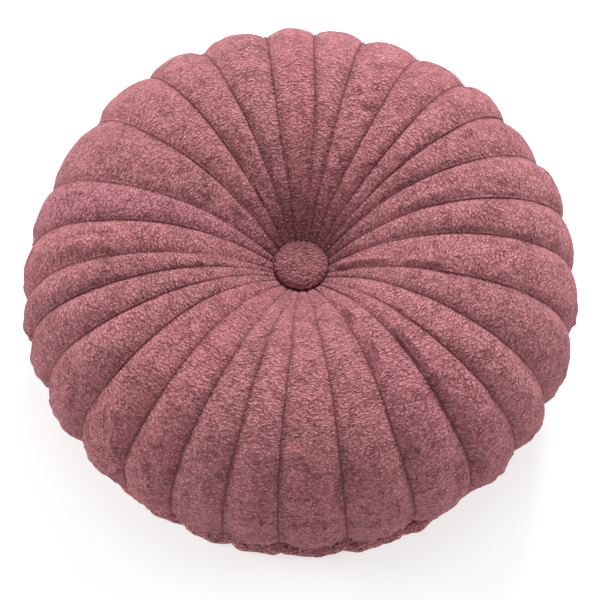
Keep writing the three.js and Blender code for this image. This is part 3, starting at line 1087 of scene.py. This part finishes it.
class PillowColours(bpy.types.PropertyGroup):
    """Colours of one plush cloth."""

    pile: FloatVectorProperty(name="Pile", description="The pile's own colour", subtype="COLOR",
                              default=(0.385, 0.142, 0.158), min=0, max=1)
    tips: FloatVectorProperty(name="Tips", description="Lit tips of the pile", subtype="COLOR",
                              default=(0.72, 0.335, 0.365), min=0, max=1)
    # The darkest pile colour: the pile's deep base between the tufts, and also the painted shade in the
    # seams, the folds and the partings
    roots: FloatVectorProperty(name="Roots", description="Between the tufts and in the seams",
                               subtype="COLOR", default=(0.120, 0.038, 0.042), min=0, max=1)
    sheen: FloatVectorProperty(name="Sheen", description="Light caught by the standing pile",
                               subtype="COLOR", default=(1.0, 0.66, 0.70), min=0, max=1)


class PillowStudio(bpy.types.PropertyGroup):
    """The camera and the floor."""

    elevation: FloatProperty(name="Elevation", description="Camera's height above the horizon, in degrees",
                             default=65.9)
    distance: FloatProperty(name="Distance", description="Camera's distance from its target",
                            default=1.2123, unit="LENGTH")
    target: FloatVectorProperty(name="Target", description="Point in the middle of the picture",
                                default=(-0.0006, -0.0111, 0.0650), subtype="TRANSLATION")
    lens: FloatProperty(name="Lens", description="Focal length in millimetres", default=99.13)
    floor: FloatVectorProperty(name="Floor", description="The floor's colour", subtype="COLOR",
                               default=(0.46, 0.46, 0.46), min=0, max=1)


class PillowSettings(bpy.types.PropertyGroup):
    """Everything that the pillow's panel shows."""

    shape: PointerProperty(type=PillowShape)
    cover: PointerProperty(type=PillowColours)
    button: PointerProperty(type=PillowColours)
    base: PointerProperty(type=PillowColours)
    studio: PointerProperty(type=PillowStudio)


class PILLOW_OT_cover(bpy.types.Operator):
    """Make the stuffed plush cover over the cushion body"""

    bl_idname = "pillow.cover"
    bl_label = "Plush cover"

    def execute(self, context):
        settings = context.scene.pillow
        material = fleece("plush_cover", on_cloth, settings.cover, folds_seam_shade_and_dye=True)
        piece = dressed(make_cover(settings.shape), material, "cushion_body")
        return {"FINISHED"}


class PILLOW_OT_button(bpy.types.Operator):
    """Make the crinkled cloth of the covered button"""

    bl_idname = "pillow.button"
    bl_label = "Covered button"

    def execute(self, context):
        settings = context.scene.pillow
        material = fleece("button_cloth", on_object, settings.button)
        dressed(make_button(), material, "centre_button")
        return {"FINISHED"}


class PILLOW_OT_base(bpy.types.Operator):
    """Make the base panel with its puckered lip"""

    bl_idname = "pillow.base"
    bl_label = "Base panel"

    def execute(self, context):
        settings = context.scene.pillow
        material = fleece("base_cloth", on_object, settings.base)
        piece = dressed(make_panel(), material, "base_panel")
        return {"FINISHED"}


class PILLOW_OT_studio(bpy.types.Operator):
    """Make the floor, the soft lamps and the camera"""

    bl_idname = "pillow.studio"
    bl_label = "Studio"

    def execute(self, context):
        studio = context.scene.pillow.studio
        scene = context.scene
        make_floor(studio.floor)
        for lamp in LAMPS:
            softbox(*lamp)
        world = bpy.data.worlds.new("studio_light")
        world.use_nodes = True
        background = world.node_tree.nodes["Background"]
        background.inputs[0].default_value = (1, 1, 1, 1)
        background.inputs[1].default_value = WORLD_STRENGTH
        scene.world = world
        scene.view_settings.view_transform = "Standard"
        make_camera(studio)
        return {"FINISHED"}


class PILLOW_PT_panel(bpy.types.Panel):
    """The pillow's sizes, colours and pieces"""

    bl_label = "Pillow"
    bl_idname = "PILLOW_PT_panel"
    bl_space_type = "VIEW_3D"
    bl_region_type = "UI"
    bl_category = "Pillow"

    def draw(self, context):
        settings = context.scene.pillow
        for group in ("shape", "cover", "button", "base", "studio"):
            values = getattr(settings, group)
            box = self.layout.box()
            box.label(text=group.title())
            for name in values.__annotations__:
                box.prop(values, name)
        for operator in OPERATORS:
            self.layout.operator(operator.bl_idname)


GROUPS = (PillowShape, PillowColours, PillowStudio, PillowSettings)
OPERATORS = (PILLOW_OT_cover, PILLOW_OT_button, PILLOW_OT_base, PILLOW_OT_studio)


def register():
    """Adds the classes and the scene's settings."""
    for item in (*GROUPS, *OPERATORS, PILLOW_PT_panel):
        bpy.utils.register_class(item)
    bpy.types.Scene.pillow = PointerProperty(type=PillowSettings)


def unregister():
    """Takes the settings and the classes away again."""
    del bpy.types.Scene.pillow
    for item in reversed((*GROUPS, *OPERATORS, PILLOW_PT_panel)):
        bpy.utils.unregister_class(item)


def main():
    """Makes every piece in order."""
    register()
    settings = bpy.context.scene.pillow
    # The button's cloth is painted darker than the cover's: painted shade for its place deep in the dimple
    settings.button.pile = (0.32, 0.118, 0.131)
    settings.button.tips = (0.54, 0.240, 0.262)
    # The base panel's cloth is painted lighter than the cover's: painted light that makes up for the shade
    # on the lip under the hem
    settings.base.pile = (0.52, 0.210, 0.225)
    settings.base.tips = (0.80, 0.400, 0.420)
    bpy.ops.pillow.cover()
    bpy.ops.pillow.button()
    bpy.ops.pillow.base()
    bpy.ops.pillow.studio()


if __name__ == "__main__":
    main()
